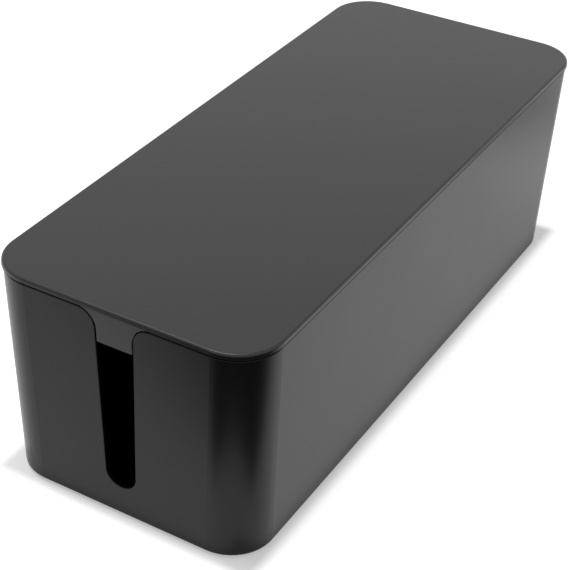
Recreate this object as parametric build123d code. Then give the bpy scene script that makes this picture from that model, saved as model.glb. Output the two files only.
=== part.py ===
from build123d import *
import os
from math import radians, tan

# Cable management box for a power strip: an open tub with a cable slot in each end, a lift-off
# lid with a tab at each end that closes the bell mouth of the slot, and four rubber feet.
# Millimetres, +Z up, +X along the box, +Y across it, origin on the table under the middle.

# Overall size, over the lid
BOX_LENGTH = 400.0
BOX_WIDTH = 162.6
BOX_HEIGHT = 133.5

# Lid: a plate with a thick edge that is widest just above its lower chamfer; draft in degrees
LID_CORNER_RADIUS = 26.0
LID_PLATE_THICKNESS = 2.6
LID_DEPTH = 3.3
LID_DRAFT = 4.6
LID_TOP_ROUNDING = 1.4
LID_UNDER_CHAMFER = 0.4
LID_OVERHANG = 0.8

# Locating lip under the lid, just inside the tub's walls
LIP_DEPTH = 7.0
LIP_THICKNESS = 1.6
LIP_CLEARANCE = 0.5
LIP_LEAD_IN = 0.6

# Tabs of the lid, flush with the tub's end walls
TAB_DROP = 18.7
TAB_CLEARANCE = 0.6
TAB_EDGE_CHAMFER = 0.3

# Tub; draft in degrees
WALL_THICKNESS = 2.5
FLOOR_THICKNESS = 2.5
WALL_DRAFT = 1.6
BASE_ROUNDING = 2.0
INNER_ROUNDING = 4.0
RIM_ROUNDING = 0.4

# Reveal: the shadow gap between the lid and the outer half of the rim
REVEAL_HEIGHT = 1.15
REVEAL_DEPTH = 1.2

# Cable slot in each end wall: a round bottom, leaning sides and convex shoulders at the rim
SLOT_SILL_HEIGHT = 20.2
SLOT_BOTTOM_RADIUS = 9.3
SLOT_MOUTH_WIDTH = 23.4
SLOT_SHOULDER_RADIUS = 10.0

# Rubber feet, glued into round recesses in the underside
FOOT_RADIUS = 7.0
FOOT_STAND_OUT = 1.0
FOOT_RECESS_DEPTH = 1.2
FOOT_RECESS_CLEARANCE = 0.15
FOOT_EDGE_CHAMFER = 0.5
FOOT_INSET = 26.0

# Heights and outlines that follow from the sizes above
SEAT_Z = BOX_HEIGHT - LID_DEPTH
LID_EDGE_Z = SEAT_Z + LID_UNDER_CHAMFER
RIM_Z = SEAT_Z - REVEAL_HEIGHT
BASE_Z = FOOT_STAND_OUT
FLOOR_Z = BASE_Z + FLOOR_THICKNESS
PLATE_Z = BOX_HEIGHT - LID_PLATE_THICKNESS
TAB_Z = SEAT_Z - TAB_DROP
LIP_Z = SEAT_Z - LIP_DEPTH
LIP_INSET = WALL_THICKNESS + LIP_CLEARANCE
TUB_CORNER_RADIUS = LID_CORNER_RADIUS - LID_OVERHANG
SHOULDER_SPAN = SLOT_MOUTH_WIDTH + 2 * SLOT_SHOULDER_RADIUS

# How far a cutter runs past the face that it cuts, and how near an edge is to where it is sought
PASS = 5.0
NEAR = 0.05


def wall_lean(z):
    """How far the drafted walls have come in at height z, from where they are at the seat."""
    return (SEAT_Z - z) * tan(radians(WALL_DRAFT))


def leaning_block(inset, corner_radius, low, high, datum, lean):
    """A block whose sides come in by lean degrees going up.

    At the datum height they lie inset inside the widest outline of the lid.
    """
    block = Pos(0, 0, (low + high) / 2) * Box(
        BOX_LENGTH - 2 * inset,
        BOX_WIDTH - 2 * inset,
        high - low,
    )
    sides = block.faces().filter_by(Axis.Z, reverse=True)
    block = draft(sides, Plane.XY.offset(datum), lean)
    corners = block.edges().group_by(Axis.Z)[1]
    return fillet(corners, corner_radius)


def drafted_block(inset, low, high):
    """A block between two heights whose sides lie inset inside the tub's outer faces."""
    corner_radius = TUB_CORNER_RADIUS - inset
    return leaning_block(LID_OVERHANG + inset, corner_radius, low, high, SEAT_Z, -WALL_DRAFT)


def slot_profile(clearance):
    """The cable slot seen along X, open above the rim, moved in all round by a clearance."""
    bottom = Pos(0, SLOT_SILL_HEIGHT + SLOT_BOTTOM_RADIUS) * Circle(SLOT_BOTTOM_RADIUS)
    half_mouth = SLOT_MOUTH_WIDTH / 2
    mouth = Line((-half_mouth, RIM_Z), (half_mouth, RIM_Z))
    tapered = make_hull(bottom.edges() + mouth.edges())
    above = Pos(0, RIM_Z + PASS / 2) * Rectangle(SHOULDER_SPAN, PASS)
    profile = tapered + above
    shoulders = profile.vertices().filter_by(
        lambda v: abs(v.Y - RIM_Z) < NEAR and abs(abs(v.X) - half_mouth) < NEAR
    )
    profile = fillet(shoulders, SLOT_SHOULDER_RADIUS)
    return offset(profile, -clearance) if clearance else profile


def through_both_ends(profile):
    """A prism of a profile, drawn across and up the box, that runs out of both of its ends."""
    on_end = Plane.YZ * profile
    return extrude(on_end, BOX_LENGTH / 2 + PASS, both=True)


def on_outer_face(edge):
    """Whether an edge's middle lies on the outer face of an end wall or a side wall."""
    middle = edge @ 0.5
    inwards = LID_OVERHANG + wall_lean(middle.Z)
    on_end = abs(abs(middle.X) - (BOX_LENGTH / 2 - inwards)) < NEAR
    on_side = abs(abs(middle.Y) - (BOX_WIDTH / 2 - inwards)) < NEAR
    return on_end or on_side


def is_rim_edge(edge):
    """Whether an edge is an outer edge of the tub's rim."""
    return on_outer_face(edge) and abs((edge @ 0.5).Z - RIM_Z) < NEAR


def is_slot_edge(edge):
    """Whether an edge is an outer edge of one of the tub's slots."""
    middle = edge @ 0.5
    beside_slot = abs(middle.Y) < SHOULDER_SPAN / 2
    return on_outer_face(edge) and beside_slot and middle.Z > SLOT_SILL_HEIGHT - NEAR


def is_tab_edge(edge):
    """Whether an edge is an outer edge of a tab, below the line where it joins the lid's edge."""
    return on_outer_face(edge) and (edge @ 0.5).Z < SEAT_Z - NEAR


def foot_places():
    """The middle of each foot, by the name of the corner that it stands at."""
    x = BOX_LENGTH / 2 - FOOT_INSET
    y = BOX_WIDTH / 2 - FOOT_INSET
    return {
        "foot_front_left": (-x, -y),
        "foot_front_right": (x, -y),
        "foot_back_left": (-x, y),
        "foot_back_right": (x, y),
    }


def make_foot(place):
    """A round rubber foot, seated in its recess and standing on the table."""
    height = FOOT_STAND_OUT + FOOT_RECESS_DEPTH
    foot = Cylinder(FOOT_RADIUS, height, align=(Align.CENTER, Align.CENTER, Align.MIN))
    rim = foot.edges().group_by(Axis.Z)[0]
    return Pos(place[0], place[1], 0) * chamfer(rim, FOOT_EDGE_CHAMFER)


def make_foot_recess(place):
    """The round recess that a foot is glued into."""
    recess = Cylinder(
        FOOT_RADIUS + FOOT_RECESS_CLEARANCE,
        FOOT_RECESS_DEPTH + PASS,
        align=(Align.CENTER, Align.CENTER, Align.MAX),
    )
    return Pos(place[0], place[1], BASE_Z + FOOT_RECESS_DEPTH) * recess


def make_tub():
    """The tub: drafted walls and floor, the slots, the reveal along the rim and the foot recesses."""
    outside = drafted_block(0, BASE_Z, SEAT_Z)
    outside = fillet(outside.edges().group_by(Axis.Z)[0], BASE_ROUNDING)
    inside = drafted_block(WALL_THICKNESS, FLOOR_Z, SEAT_Z + PASS)
    inside = fillet(inside.edges().group_by(Axis.Z)[0], INNER_ROUNDING)
    reveal = drafted_block(-PASS, RIM_Z, SEAT_Z + PASS)
    reveal -= drafted_block(REVEAL_DEPTH, RIM_Z, SEAT_Z + PASS)
    tub = outside - inside - reveal - through_both_ends(slot_profile(0))
    for place in foot_places().values():
        tub -= make_foot_recess(place)
    open_edges = tub.edges().filter_by(lambda e: is_rim_edge(e) or is_slot_edge(e))
    return fillet(open_edges, RIM_ROUNDING)


def make_tabs():
    """The two tabs that fill the slots' bell mouths, in line with the tub's end walls."""
    walls = drafted_block(0, TAB_Z, SEAT_Z) - drafted_block(LIP_INSET, TAB_Z, SEAT_Z)
    tabs = walls & through_both_ends(slot_profile(TAB_CLEARANCE))
    return chamfer(tabs.edges().filter_by(is_tab_edge), TAB_EDGE_CHAMFER)


def make_lid():
    """The lid: plate with a rounded edge that overhangs the tub, locating lip and the two tabs."""
    plate = leaning_block(0, LID_CORNER_RADIUS, SEAT_Z, BOX_HEIGHT, LID_EDGE_Z, LID_DRAFT)
    plate = fillet(plate.edges().group_by(Axis.Z)[-1], LID_TOP_ROUNDING)
    plate = chamfer(plate.edges().group_by(Axis.Z)[0], LID_UNDER_CHAMFER)
    lip = drafted_block(LIP_INSET, LIP_Z, SEAT_Z)
    lip = chamfer(lip.edges().group_by(Axis.Z)[0], LIP_LEAD_IN)
    hollow = drafted_block(LIP_INSET + LIP_THICKNESS, LIP_Z - PASS, PLATE_Z)
    return plate + lip - hollow + make_tabs()


def main():
    """Write one STEP file for each piece."""
    os.makedirs("parts", exist_ok=True)
    export_step(make_tub(), "parts/tub.step")
    export_step(make_lid(), "parts/lid.step")
    for name, place in foot_places().items():
        export_step(make_foot(place), f"parts/{name}.step")


main()
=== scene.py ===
"""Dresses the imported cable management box: plastic and rubber finishes, a white studio, a camera."""

import logging
import math
from dataclasses import dataclass
from enum import Enum
from typing import Any, Mapping, Optional, Union

import bmesh
import bpy
from mathutils import Matrix, Vector

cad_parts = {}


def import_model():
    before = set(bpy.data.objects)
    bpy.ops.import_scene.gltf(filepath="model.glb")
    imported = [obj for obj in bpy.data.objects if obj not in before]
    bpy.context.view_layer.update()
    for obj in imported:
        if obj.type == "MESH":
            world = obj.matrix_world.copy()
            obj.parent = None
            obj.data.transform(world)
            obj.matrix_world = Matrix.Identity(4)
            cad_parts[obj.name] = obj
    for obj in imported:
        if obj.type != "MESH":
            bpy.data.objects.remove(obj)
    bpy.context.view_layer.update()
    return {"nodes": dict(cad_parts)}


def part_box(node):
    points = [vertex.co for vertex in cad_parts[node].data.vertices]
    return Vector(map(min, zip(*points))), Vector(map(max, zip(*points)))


LOG = logging.getLogger("cable_box")

Triple = tuple[float, float, float]
Span = tuple[float, float]
Number = Union["Signal", float]

AXIS_X: Triple = (1.0, 0.0, 0.0)
AXIS_Y: Triple = (0.0, 1.0, 0.0)
WHITE = (1.0, 1.0, 1.0, 1.0)
NOISE_MIDDLE = 0.5


class Ray(Enum):
    """The kinds of light path that a stage surface tells apart, by their Light Path output."""

    CAMERA = "Is Camera Ray"
    GLOSSY = "Is Glossy Ray"
    TRANSMISSION = "Is Transmission Ray"


@dataclass(frozen=True)
class Signal:
    """A node's output socket; where it carries a number, each operator adds its Math node.

    Attributes:
        graph: The graph that the socket's node is in.
        socket: The output socket.
    """

    graph: "ShaderGraph"
    socket: Optional[bpy.types.NodeSocket]

    def _math(self, operation: str, first: Number, second: Number = 0.0) -> "Signal":
        """Adds one Math node.

        Args:
            operation: The node's operation.
            first: Its first value.
            second: Its second value, where the operation has one.

        Returns:
            The result.
        """
        return self.graph.add("ShaderNodeMath", {"operation": operation}, {0: first, 1: second})

    def __add__(self, other: Number) -> "Signal":
        """Returns self + other."""
        return self._math("ADD", self, other)

    def __radd__(self, other: Number) -> "Signal":
        """Returns other + self."""
        return self._math("ADD", other, self)

    def __sub__(self, other: Number) -> "Signal":
        """Returns self - other."""
        return self._math("SUBTRACT", self, other)

    def __rsub__(self, other: Number) -> "Signal":
        """Returns other - self."""
        return self._math("SUBTRACT", other, self)

    def __mul__(self, other: Number) -> "Signal":
        """Returns self * other."""
        return self._math("MULTIPLY", self, other)

    def __rmul__(self, other: Number) -> "Signal":
        """Returns other * self."""
        return self._math("MULTIPLY", other, self)

    def either(self, other: Number) -> "Signal":
        """Returns the larger of self and other."""
        return self._math("MAXIMUM", self, other)

    def size(self) -> "Signal":
        """Returns self without its sign."""
        return self._math("ABSOLUTE", self)

    def angle(self, across: "Signal") -> "Signal":
        """Returns the angle, in radians, of the arrow that is self high and reaches across sideways."""
        return self._math("ARCTAN2", self, across)

    def diagonal(self, across: "Signal") -> "Signal":
        """Returns the length of the arrow that is self high and reaches across sideways."""
        return self._math("SQRT", self * self + across * across)

    def ramp(self, low: float, high: float) -> "Signal":
        """Rises smoothly from 0 to 1.

        Args:
            low: The value at and below which the result is 0.
            high: The value at and above which the result is 1.

        Returns:
            The smoothed result.
        """
        return self.graph.add(
            "ShaderNodeMapRange",
            {"interpolation_type": "SMOOTHSTEP"},
            {"Value": self, "From Min": low, "From Max": high},
        )


class ShaderGraph:
    """The node tree of one material or of the world."""

    def __init__(self, tree: bpy.types.NodeTree) -> None:
        """Empties the tree and keeps it.

        Args:
            tree: The node tree to build in.
        """
        tree.nodes.clear()
        self.tree = tree

    def add(
        self,
        kind: str,
        settings: Optional[Mapping[str, Any]] = None,
        inputs: Optional[Mapping[Union[str, int], Any]] = None,
        output: Union[str, int] = 0,
    ) -> Signal:
        """Adds a node, with its settings before its sockets.

        Args:
            kind: The node's type.
            settings: Properties of the node.
            inputs: A value or a Signal for each named or numbered socket.
            output: The output that is returned.

        Returns:
            The output socket, wrapped.
        """
        node = self.tree.nodes.new(kind)
        for name, value in (settings or {}).items():
            setattr(node, name, value)
        for name, value in (inputs or {}).items():
            if isinstance(value, Signal):
                self.tree.links.new(value.socket, node.inputs[name])
            else:
                node.inputs[name].default_value = value
        return Signal(self, node.outputs[output] if node.outputs else None)

    def place(self) -> Signal:
        """Returns the surface's own place, in metres."""
        return self.add("ShaderNodeTexCoord", output="Object")

    def noise(self, place: Signal, size: float, detail: float) -> Signal:
        """Adds a noise of values around its middle, NOISE_MIDDLE.

        Args:
            place: The vector that it is read at.
            size: The size of its largest blobs, in metres.
            detail: How many finer octaves it has.

        Returns:
            The noise's value.
        """
        return self.add(
            "ShaderNodeTexNoise", inputs={"Vector": place, "Scale": 1 / size, "Detail": detail}
        )

    def stretched(self, place: Signal, factors: Triple) -> Signal:
        """Returns a vector times one factor along each axis."""
        return self.add("ShaderNodeVectorMath", {"operation": "MULTIPLY"}, {0: place, 1: factors})

    def shifted(self, place: Signal, origin: Triple) -> Signal:
        """Returns a vector as it is seen from another origin."""
        return self.add("ShaderNodeVectorMath", {"operation": "SUBTRACT"}, {0: place, 1: origin})

    def along(self, place: Signal, direction: Triple) -> Signal:
        """Returns how far a vector reaches along a direction of length 1."""
        return self.add(
            "ShaderNodeVectorMath",
            {"operation": "DOT_PRODUCT"},
            {0: place, 1: direction},
            output="Value",
        )

    def turned(self, origin: Triple, turn: float) -> tuple[Signal, Signal]:
        """Reads the surface's place from an origin, along and across an arrow that lies level.

        Args:
            origin: Where the arrow starts.
            turn: The arrow's angle from +X towards +Y, in degrees.

        Returns:
            How far the place lies along the arrow, and how far to its left.
        """
        angle = math.radians(turn)
        away = self.shifted(self.place(), origin)
        ahead = self.along(away, (math.cos(angle), math.sin(angle), 0.0))
        leftwards = self.along(away, (-math.sin(angle), math.cos(angle), 0.0))
        return ahead, leftwards

    def ray(self, kind: Ray) -> Signal:
        """Returns 1 for one kind of light path and 0 for the others."""
        return self.add("ShaderNodeLightPath", output=kind.value)

    def glow(self, strength: float) -> Signal:
        """Returns a shader that sends out white light of a strength."""
        return self.add("ShaderNodeEmission", inputs={"Strength": strength})

    def sky(self, strength: float) -> Signal:
        """Returns a white background of a strength."""
        return self.add("ShaderNodeBackground", inputs={"Strength": strength, "Color": WHITE})

    def both(self, first: Signal, second: Signal) -> Signal:
        """Returns the sum of two shaders."""
        return self.add("ShaderNodeAddShader", inputs={0: first, 1: second})

    def fade(self, share: Signal, first: Signal, second: Signal) -> Signal:
        """Mixes two shaders; a share of 0 gives the first."""
        return self.add("ShaderNodeMixShader", inputs={0: share, 1: first, 2: second})

    def blend(self, share: Signal, low: Triple, high: Triple) -> Signal:
        """Mixes two colours.

        Args:
            share: 0 gives low and 1 gives high.
            low: A linear colour.
            high: A linear colour.

        Returns:
            The mixed colour.
        """
        colours = {6: (*low, 1.0), 7: (*high, 1.0)}
        return self.add("ShaderNodeMix", {"data_type": "RGBA"}, {0: share, **colours}, output=2)

    def relief(self, height: Signal, depth: float, under: Optional[Signal] = None) -> Signal:
        """Adds a Bump node.

        Args:
            height: The relief, from 0 to 1.
            depth: Its depth in metres.
            under: The normal of a coarser relief that this one lies on.

        Returns:
            The bumped normal.
        """
        inputs = {"Height": height, "Distance": depth, "Strength": 1.0}
        if under is not None:
            inputs["Normal"] = under
        return self.add("ShaderNodeBump", inputs=inputs)

    def finish(self, shader: Signal) -> None:
        """Joins a shader to the material's or the world's output."""
        world = any(node.type == "BACKGROUND" for node in self.tree.nodes)
        kind = "ShaderNodeOutputWorld" if world else "ShaderNodeOutputMaterial"
        self.add(kind, inputs={"Surface": shader})


def new_material(name: str) -> tuple[bpy.types.Material, ShaderGraph]:
    """Makes an empty material.

    Args:
        name: Its name.

    Returns:
        The material and its graph.
    """
    material = bpy.data.materials.new(name)
    material.use_nodes = True
    return material, ShaderGraph(material.node_tree)


@dataclass(frozen=True)
class MouldedPlastic:
    """Satin black plastic from a finely textured mould.

    Attributes:
        name: The material's name.
        colour: Its linear colour where it is clean.
        dusty_colour: Its linear colour where it is dusty.
        refractive_index: How strongly it mirrors.
        roughness: Its roughness on average.
        roughness_spread: How much the clouds and the grain change the roughness.
        cloud_size: The size of the dusty and clean places, in metres.
        sink_size: The size of the shallow waves that cooling leaves, in metres.
        sink_depth: Their depth in metres.
        grain_size: The size of the mould's texture, in metres.
        grain_depth: Its depth in metres.
        rub_size: The width of the glossier streaks that handling leaves, in metres.
        rub_squeeze: The factors that draw the streaks out along the box.
        rub_span: The noise's values between which a streak appears.
        rub_amount: How much the streaks lower the roughness.
    """

    name: str
    colour: Triple = (0.003, 0.003, 0.0031)
    dusty_colour: Triple = (0.004, 0.004, 0.0042)
    refractive_index: float = 1.5
    roughness: float = 0.3
    roughness_spread: float = 0.04
    cloud_size: float = 0.04
    sink_size: float = 0.11
    sink_depth: float = 0.00003
    grain_size: float = 0.00045
    grain_depth: float = 0.000004
    rub_size: float = 0.004
    rub_squeeze: Triple = (0.12, 1.0, 1.0)
    rub_span: Span = (0.55, 0.8)
    rub_amount: float = 0.015

    def make(self) -> bpy.types.Material:
        """Returns the finish as a material."""
        material, graph = new_material(self.name)
        place = graph.place()
        clouds = graph.noise(place, self.cloud_size, detail=4.0)
        grain = graph.noise(place, self.grain_size, detail=2.0)
        streaks = graph.noise(graph.stretched(place, self.rub_squeeze), self.rub_size, detail=5.0)
        waves = graph.relief(graph.noise(place, self.sink_size, detail=1.0), self.sink_depth)
        clouded = self.roughness + self.roughness_spread * (clouds - NOISE_MIDDLE)
        grained = clouded + self.roughness_spread * (grain - NOISE_MIDDLE)
        graph.finish(
            graph.add(
                "ShaderNodeBsdfPrincipled",
                inputs={
                    "Base Color": graph.blend(clouds, self.colour, self.dusty_colour),
                    "Roughness": grained - self.rub_amount * streaks.ramp(*self.rub_span),
                    "IOR": self.refractive_index,
                    "Normal": graph.relief(grain, self.grain_depth, under=waves),
                },
            )
        )
        return material


@dataclass(frozen=True)
class Rubber:
    """Matt black rubber with a slightly dusty skin.

    Attributes:
        name: The material's name.
        colour: Its linear colour where it is clean.
        dust: The linear colour of the dust.
        dust_share: How much of the dust's colour the dustiest places take.
        dust_size: The size of the dusty places, in metres.
        dust_span: The noise's values between which dust appears.
        roughness: Its roughness on average.
        roughness_spread: How much the skin changes the roughness.
        skin_size: The size of the skin's texture, in metres.
        skin_depth: Its depth in metres.
    """

    name: str
    colour: Triple = (0.016, 0.016, 0.016)
    dust: Triple = (0.045, 0.043, 0.04)
    dust_share: float = 0.6
    dust_size: float = 0.006
    dust_span: Span = (0.45, 0.7)
    roughness: float = 0.8
    roughness_spread: float = 0.15
    skin_size: float = 0.0008
    skin_depth: float = 0.00002

    def make(self) -> bpy.types.Material:
        """Returns the finish as a material."""
        material, graph = new_material(self.name)
        place = graph.place()
        skin = graph.noise(place, self.skin_size, detail=3.0)
        dusty = graph.noise(place, self.dust_size, detail=3.0).ramp(*self.dust_span)
        graph.finish(
            graph.add(
                "ShaderNodeBsdfPrincipled",
                inputs={
                    "Base Color": graph.blend(self.dust_share * dusty, self.colour, self.dust),
                    "Roughness": self.roughness + self.roughness_spread * (skin - NOISE_MIDDLE),
                    "Normal": graph.relief(skin, self.skin_depth),
                },
            )
        )
        return material


@dataclass
class Box:
    """The cable box itself: the nodes that it is made of and the finish of each kind of piece.

    The index of the tub is set lower than that of plastic, so that its walls mirror less of the
    white studio than the lid does.
    """

    nodes: Mapping[str, bpy.types.Object]
    tub: MouldedPlastic = MouldedPlastic("tub_plastic", refractive_index=1.34)
    lid: MouldedPlastic = MouldedPlastic("lid_plastic", refractive_index=1.5)
    foot: Rubber = Rubber("foot_rubber")

    def dress(self) -> None:
        """Gives every node its finish."""
        moulded = {"tub": self.tub.make(), "lid": self.lid.make()}
        rubber = self.foot.make()
        for name, node in self.nodes.items():
            finish = moulded.get(name, rubber)
            for slot in node.material_slots:
                slot.material = finish
            LOG.info("%s: %s", name, finish.name)


@dataclass(frozen=True)
class Softbox:
    """A rectangular lamp that looks at a point and can't be seen by the camera.

    Attributes:
        name: The lamp's name.
        place: The middle of its face, in metres.
        aim: The point that it looks at.
        width: Its width in metres.
        height: Its height in metres.
        radiance: How bright its face is, where 1 is white.
    """

    name: str
    place: Triple
    aim: Triple
    width: float
    height: float
    radiance: float

    def light(self) -> bpy.types.Object:
        """Returns the lamp, placed and lit."""
        lamp = bpy.data.lights.new(self.name, "AREA")
        lamp.shape = "RECTANGLE"
        lamp.size = self.width
        lamp.size_y = self.height
        lamp.energy = self.radiance * math.pi * self.width * self.height
        piece = bpy.data.objects.new(self.name, lamp)
        bpy.context.scene.collection.objects.link(piece)
        piece.location = self.place
        away = Vector(self.place) - Vector(self.aim)
        piece.rotation_euler = away.to_track_quat("Z", "Y").to_euler()
        piece.visible_camera = False
        return piece


@dataclass(frozen=True)
class Patch:
    """A soft oval patch on the floor; the studio uses it to mask a painted dark reflection.

    Attributes:
        place: Its middle, in metres.
        radius: Half of its length, in metres.
        turn: The angle of its length from +X, in degrees.
        narrow: Its length over its width.
        strength: The mask's value at its middle.
    """

    place: Triple
    radius: float
    turn: float = 0.0
    narrow: float = 1.0
    strength: float = 1.0

    def mask(self, graph: ShaderGraph) -> Signal:
        """Returns the strength at the patch's middle, falling smoothly to 0 at its outline."""
        ahead, leftwards = graph.turned(self.place, self.turn)
        out = ahead.diagonal(self.narrow * leftwards)
        return self.strength * (1.0 - out.ramp(0.0, self.radius))


@dataclass(frozen=True)
class Wedge:
    """A soft wedge on the floor that opens away from its tip; the studio uses it to mask a painted dark
    reflection.

    Attributes:
        tip: Where its sides meet, in metres.
        turn: The angle of its middle line from +X, in degrees.
        half_angle: The angle between its middle line and each side, in degrees.
        side_blur: How far each side is softened each way, in degrees.
        start: How far from the tip it begins, in metres.
        start_blur: How far its beginning is softened each way, in metres.
        strength: The mask's value inside it.
    """

    tip: Triple
    turn: float
    half_angle: float
    side_blur: float
    start: float
    start_blur: float
    strength: float

    def mask(self, graph: ShaderGraph) -> Signal:
        """Returns the strength inside the wedge and 0 outside."""
        ahead, leftwards = graph.turned(self.tip, self.turn)
        spread = leftwards.angle(ahead).size() * math.degrees(1)
        outside = spread.ramp(self.half_angle - self.side_blur, self.half_angle + self.side_blur)
        reach = leftwards.diagonal(ahead)
        begun = reach.ramp(self.start - self.start_blur, self.start + self.start_blur)
        return self.strength * (1.0 - outside) * begun


@dataclass
class Studio:
    """A white table in a white room, a lamp overhead, dark patches painted on the floor that only gloss
    shows as painted dark reflections, and painted shadow at the box's foot.

    Attributes:
        floor_half: Half of the floor's side, in metres.
        floor_colour: The linear colour that the floor takes light with.
        near_glow_painted_shadow: The white that is added to the floor at the box's foot; being less
            than far_glow, it paints shadow there on top of the real shadow.
        far_glow: The white that is added to the floor beyond the band of real and painted shadow.
        painted_shadow_band: How far from the box's foot that white starts and stops rising, in metres;
            inside it the grey is partly painted shadow.
        wall_lean: How far the tub's foot lies inside the outline of its rim, in metres.
        end_painted_dark: The painted dark reflection patch beside the far end of the long wall.
        side_painted_dark: A second painted dark reflection patch further out.
        corner_painted_dark: The painted dark reflection wedge round the corner between the slot and the
            long wall.
        room_level: The strength of the light that the room gives, where 1 is white.
        overhead: The lamp.
    """

    floor_half: float = 4.0
    floor_colour: Triple = (0.85, 0.85, 0.85)
    # Less white at the box's foot than beyond it paints part of the shadow band there.
    near_glow_painted_shadow: float = 0.4
    far_glow: float = 0.87
    painted_shadow_band: Span = (-0.001, 0.009)
    wall_lean: float = 0.0036
    # Dark patches painted on the floor that only glossy rays see: painted dark reflections on the box's
    # walls and near corner.
    end_painted_dark: Patch = Patch((0.35, -0.18, 0.0), 0.105, turn=10.0, narrow=2.25)
    side_painted_dark: Patch = Patch((0.3, -0.25, 0.0), 0.09, strength=0.8)
    corner_painted_dark: Wedge = Wedge(
        (-0.225, -0.08, 0.0),
        turn=217.0,
        half_angle=88.0,
        side_blur=13.0,
        start=0.045,
        start_blur=0.015,
        strength=0.93,
    )
    room_level: float = 0.2
    overhead: Softbox = Softbox(
        "overhead",
        place=(-0.2, 0.4, 1.63),
        aim=(-0.2, 0.4, 0.0),
        width=0.58,
        height=0.95,
        radiance=5.0,
    )

    def beside_box(self, graph: ShaderGraph) -> Signal:
        """Returns how far a point on the floor is from the box's foot, and 0 under the box."""
        low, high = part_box("tub")
        place = graph.place()
        half = (high - low) / 2 - Vector((self.wall_lean, self.wall_lean, 0.0))
        over_x = (graph.along(place, AXIS_X).size() - half.x).either(0.0)
        over_y = (graph.along(place, AXIS_Y).size() - half.y).either(0.0)
        return over_x.diagonal(over_y)

    def paint_floor(self) -> bpy.types.Material:
        """Makes the floor's material.

        Camera and transmission rays see white; near the box's foot less white is added, so the grey
        band there is partly the real shadow and partly painted shadow. Glossy rays see the same white
        with painted dark reflections on it, and all others see lit paper.

        Returns:
            The material.
        """
        material, graph = new_material("floor_paper")
        paper = graph.add("ShaderNodeBsdfDiffuse", inputs={"Color": (*self.floor_colour, 1.0)})
        # Painted shadow: less white is added near the box's foot, on top of the real shadow.
        past_painted_shadow = self.beside_box(graph).ramp(*self.painted_shadow_band)
        glow = graph.fade(past_painted_shadow, graph.glow(self.near_glow_painted_shadow), graph.glow(self.far_glow))
        white = graph.both(paper, glow)
        # Painted dark reflections: black patches on the floor that only glossy rays see.
        painted_dark_gloss = white
        for painted_dark in (self.end_painted_dark, self.side_painted_dark, self.corner_painted_dark):
            painted_dark_gloss = graph.fade(painted_dark.mask(graph), painted_dark_gloss, graph.glow(0.0))
        mirrored = graph.fade(graph.ray(Ray.GLOSSY), paper, painted_dark_gloss)
        seen = graph.ray(Ray.CAMERA) + graph.ray(Ray.TRANSMISSION)
        graph.finish(graph.fade(seen, mirrored, white))
        return material

    def lay_floor(self) -> None:
        """Lays the floor that the box stands on."""
        mesh = bpy.data.meshes.new("floor")
        sheet = bmesh.new()
        bmesh.ops.create_grid(sheet, x_segments=1, y_segments=1, size=self.floor_half)
        sheet.to_mesh(mesh)
        sheet.free()
        mesh.materials.append(self.paint_floor())
        floor = bpy.data.objects.new("floor", mesh)
        bpy.context.scene.collection.objects.link(floor)

    def paint_world(self) -> None:
        """Makes the world white wherever it is seen, and a soft even light otherwise."""
        world = bpy.data.worlds.new("studio")
        world.use_nodes = True
        bpy.context.scene.world = world
        graph = ShaderGraph(world.node_tree)
        seen = graph.ray(Ray.CAMERA) + graph.ray(Ray.GLOSSY) + graph.ray(Ray.TRANSMISSION)
        graph.finish(graph.fade(seen, graph.sky(self.room_level), graph.sky(1.0)))

    def build(self) -> None:
        """Lays the floor, paints the world and lights the lamp."""
        self.lay_floor()
        self.paint_world()
        self.overhead.light()


@dataclass
class Eye:
    """The camera: where it looks, from which side and with what lens.

    Attributes:
        aim: The point that it looks at, in metres.
        azimuth: The side that it looks from: 0 is -Y and 90 is +X, in degrees.
        elevation: How far above the table it looks from, in degrees.
        roll: How far it is turned about its line of sight, in degrees.
        distance: How far it is from the aim, in metres.
        lens: Its focal length in millimetres.
        shift_across: How far the lens is shifted sideways, as a share of the picture.
        shift_up: How far the lens is shifted upwards, as a share of the picture.
        nearest: The nearest distance that it sees, in metres.
        farthest: The farthest distance that it sees, in metres.
    """

    aim: Triple = (-0.007495, 0.059496, 0.024993)
    azimuth: float = -58.255
    elevation: float = 33.659
    roll: float = 0.824
    distance: float = 0.983201
    lens: float = 100.0
    shift_across: float = 0.11754
    shift_up: float = -0.01316
    nearest: float = 0.05
    farthest: float = 50.0

    def back(self) -> Vector:
        """Returns the direction from the aim to the camera."""
        azimuth = math.radians(self.azimuth)
        elevation = math.radians(self.elevation)
        level = math.cos(elevation)
        return Vector((math.sin(azimuth) * level, -math.cos(azimuth) * level, math.sin(elevation)))

    def open(self) -> bpy.types.Object:
        """Returns the camera, placed and set as the scene's own."""
        lens = bpy.data.cameras.new("eye")
        lens.lens = self.lens
        lens.shift_x = self.shift_across
        lens.shift_y = self.shift_up
        lens.clip_start = self.nearest
        lens.clip_end = self.farthest
        camera = bpy.data.objects.new("eye", lens)
        bpy.context.scene.collection.objects.link(camera)
        back = self.back()
        upright = back.to_track_quat("Z", "Y").to_matrix()
        turned = upright @ Matrix.Rotation(math.radians(self.roll), 3, "Z")
        place = Matrix.Translation(Vector(self.aim) + back * self.distance)
        camera.matrix_world = place @ turned.to_4x4()
        bpy.context.scene.camera = camera
        return camera


def main() -> None:
    """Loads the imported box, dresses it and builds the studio."""
    logging.basicConfig(level=logging.INFO, format="%(name)s: %(message)s")
    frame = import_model()
    Box(frame["nodes"]).dress()
    Eye().open()
    Studio().build()
    bpy.context.scene.view_settings.view_transform = "Standard"


if __name__ == "__main__":
    main()
